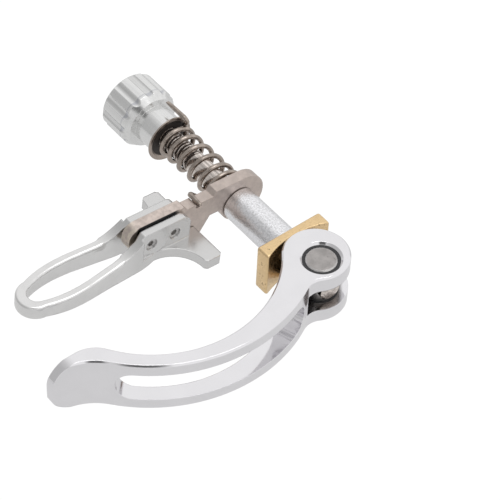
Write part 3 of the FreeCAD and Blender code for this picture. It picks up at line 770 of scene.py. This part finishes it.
class OBJECT_OT_clamp_spring(bpy.types.Operator):
    """Gives the spring's wire a round section and lets its hook stand out of the notch"""

    bl_idname = "object.clamp_spring"
    bl_label = "Round the spring's wire"

    def execute(self, context):
        form = context.scene.clamp_form
        wire = smooth_copy("spring")
        hook_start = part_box("latch_plate")[0].x - HOOK_START * MM
        for vertex in wire.data.vertices:
            vertex.select = vertex.co.x > hook_start and vertex.co.y < HOOK_SIDE * MM
        bpy.ops.object.mode_set(mode="EDIT")
        bpy.ops.transform.translate(value=(0.0, 0.0, form.hook_lift))
        bpy.ops.mesh.select_all(action="SELECT")
        bpy.ops.transform.shrink_fatten(value=form.wire / ROUNDING - SOLID_WIRE * MM)
        bpy.ops.object.mode_set(mode="OBJECT")
        modified(wire, "SUBSURF", levels=2, render_levels=2)
        bpy.ops.object.shade_smooth()
        return {"FINISHED"}


class OBJECT_OT_clamp_bolt(bpy.types.Operator):
    """Models the clamp bolt with its thread cut"""

    bl_idname = "object.clamp_bolt"
    bl_label = "Cut the bolt's thread"

    def execute(self, context):
        thread = context.scene.clamp_thread
        low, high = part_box("clamp_bolt")
        crest = high.z
        root = crest - thread.depth
        core = root - CORE_DEPTH * MM
        foot = core - FOOT_DEPTH * MM
        chamfer = CHAMFER * MM
        shank = turned(chain("threaded_bolt", [
            (low.x, 0.0), (low.x, core), (thread.run_out - thread.pitch, core), (thread.run_out, crest),
            (high.x - chamfer, crest), (high.x, crest - chamfer), (high.x, 0.0)]), thread.steps)
        turns = round((thread.run_out - low.x) / thread.pitch) - 1
        start = thread.run_out - (turns + 1) * thread.pitch
        # The ridge's outline over one pitch, each point with its share of the pitch and its radius
        ridge = [(0.06, foot), (0.1, root), (0.4, crest), (0.6, crest), (0.9, root), (0.94, foot),
                 (0.06, foot)]
        helix = turned(chain("helix", [(start + share * thread.pitch, radius) for share, radius in ridge]),
                       thread.steps, thread.pitch, turns)
        select_only(helix, shank)
        bpy.ops.object.join()
        bpy.ops.object.shade_smooth_by_angle(angle=math.radians(25.0))
        stand_in(shank, "clamp_bolt")
        return {"FINISHED"}


class OBJECT_OT_clamp_stage(bpy.types.Operator):
    """Sets the floor, the light and the camera"""

    bl_idname = "object.clamp_stage"
    bl_label = "Set the stage"

    def execute(self, context):
        stage = context.scene.clamp_stage
        self.floor(stage)
        context.scene.world = self.room(stage)
        self.key_lamp(stage)
        context.scene.camera = self.camera(stage)
        context.scene.view_settings.view_transform = "Standard"
        return {"FINISHED"}

    def floor(self, stage):
        """A pale floor that looks white and keeps the clamp's shadow."""
        bpy.ops.object.select_all(action="DESELECT")
        level = CAD_BOX[0].z - stage.floor_drop
        bpy.ops.mesh.primitive_plane_add(size=FLOOR_SIDE, location=(0.0, 0.0, level))
        floor = bpy.context.object
        floor.name = "floor"
        bpy.ops.object.transform_apply(location=True)
        sheet = new_sheet("floor_paper")
        grain = sheet.noise(sheet.place(), scale=0.4)
        greys = sheet.mix(grain, FLOOR_DARK, FLOOR_LIGHT)
        paper = sheet.node("ShaderNodeBsdfDiffuse", None, {"Color": greys})
        white = sheet.node("ShaderNodeEmission", None,
                           {"Color": (1.0, 1.0, 1.0, 1.0), "Strength": FLOOR_GLOW})
        seen = sheet.node("ShaderNodeLightPath", output="Is Camera Ray")
        shown = sheet.node("ShaderNodeMixShader", None, {0: seen * GLOW_SHARE, 1: paper, 2: white})
        sheet.node("ShaderNodeOutputMaterial", None, {"Surface": shown})
        floor.data.materials.append(sheet.owner)

    def room(self, stage):
        """White all round; metal also mirrors a grey side at the front left and a dark lens."""
        sheet = Sheet(bpy.data.worlds.new("studio_world"))
        seen = sheet.node("ShaderNodeLightPath", output="Is Camera Ray")
        mirror = sheet.node("ShaderNodeLightPath", output="Is Glossy Ray")
        direction = sheet.node("ShaderNodeTexCoord", output="Generated")
        lens = sheet.step(sheet.facing(direction, view_back(stage)), *LENS_EDGE)
        grey = sheet.step(sheet.facing(direction, GREY_SIDE), *GREY_EDGE)
        mirrored = ROOM_MIRRORED * (1.0 - lens * LENS_SHADE) * (1.0 - grey * GREY_SHADE)
        strength = seen + mirror * mirrored + (1.0 - seen - mirror) * ROOM_DIFFUSE
        light = sheet.node("ShaderNodeBackground", None,
                           {"Color": (1.0, 1.0, 1.0, 1.0), "Strength": strength})
        sheet.node("ShaderNodeOutputWorld", None, {"Surface": light})
        return sheet.owner

    def key_lamp(self, stage):
        """One broad soft box from overhead, out of the way of what the flat tops mirror."""
        turn = (-Vector(KEY_PLACE)).to_track_quat("-Z", "Y").to_euler()
        bpy.ops.object.light_add(type="AREA", location=KEY_PLACE, rotation=turn)
        lamp = bpy.context.object
        lamp.name = "key"
        lamp.data.size = stage.key_side
        lamp.data.energy = stage.key_power

    def camera(self, stage):
        """The photograph's own view."""
        back = view_back(stage)
        level = Vector((math.cos(stage.azimuth), math.sin(stage.azimuth), 0.0))
        upright = back.cross(level)
        right = level * math.cos(stage.roll) - upright * math.sin(stage.roll)
        up = level * math.sin(stage.roll) + upright * math.cos(stage.roll)
        turn = Matrix((right, up, back)).transposed().to_euler()
        place = Vector(AIM_MM) * MM + back * stage.distance
        bpy.ops.object.camera_add(location=place, rotation=turn)
        camera = bpy.context.object
        camera.data.lens = stage.lens
        camera.data.clip_start = 0.01
        camera.data.clip_end = 20.0
        return camera


def view_back(stage):
    """Direction from the clamp towards the camera."""
    flat = math.cos(stage.elevation)
    return Vector((math.sin(stage.azimuth) * flat, -math.cos(stage.azimuth) * flat,
                   math.sin(stage.elevation)))


class VIEW3D_PT_clamp(bpy.types.Panel):
    """Buttons and sizes of the clamp"""

    bl_idname = "VIEW3D_PT_clamp"
    bl_label = "Seatpost clamp"
    bl_space_type = "VIEW_3D"
    bl_region_type = "UI"
    bl_category = "Clamp"

    def draw(self, context):
        for operator in OPERATORS:
            self.layout.operator(operator.bl_idname)
        for name in GROUPS:
            group = getattr(context.scene, name)
            box = self.layout.box()
            for setting in group.__annotations__:
                box.prop(group, setting)


OPERATORS = (OBJECT_OT_clamp_metal, OBJECT_OT_clamp_handle, OBJECT_OT_clamp_block, OBJECT_OT_clamp_spring,
             OBJECT_OT_clamp_bolt, OBJECT_OT_clamp_stage)
GROUPS = {"clamp_finish": ClampFinish, "clamp_form": ClampForm, "clamp_thread": ClampThread,
          "clamp_stage": ClampStage}


def register():
    """Makes the groups, operators and panel known."""
    for kind in (*GROUPS.values(), *OPERATORS, VIEW3D_PT_clamp):
        bpy.utils.register_class(kind)
    for name, kind in GROUPS.items():
        setattr(bpy.types.Scene, name, PointerProperty(type=kind))


def unregister():
    """Takes them away again."""
    for name in GROUPS:
        delattr(bpy.types.Scene, name)
    for kind in (VIEW3D_PT_clamp, *reversed(OPERATORS), *GROUPS.values()):
        bpy.utils.unregister_class(kind)


def main():
    """Dresses the clamp and sets the stage."""
    register()
    bpy.ops.object.clamp_metal()
    bpy.ops.object.clamp_handle()
    bpy.ops.object.clamp_block()
    bpy.ops.object.clamp_spring()
    bpy.ops.object.clamp_bolt()
    bpy.ops.object.clamp_stage()


if __name__ == "__main__":
    main()
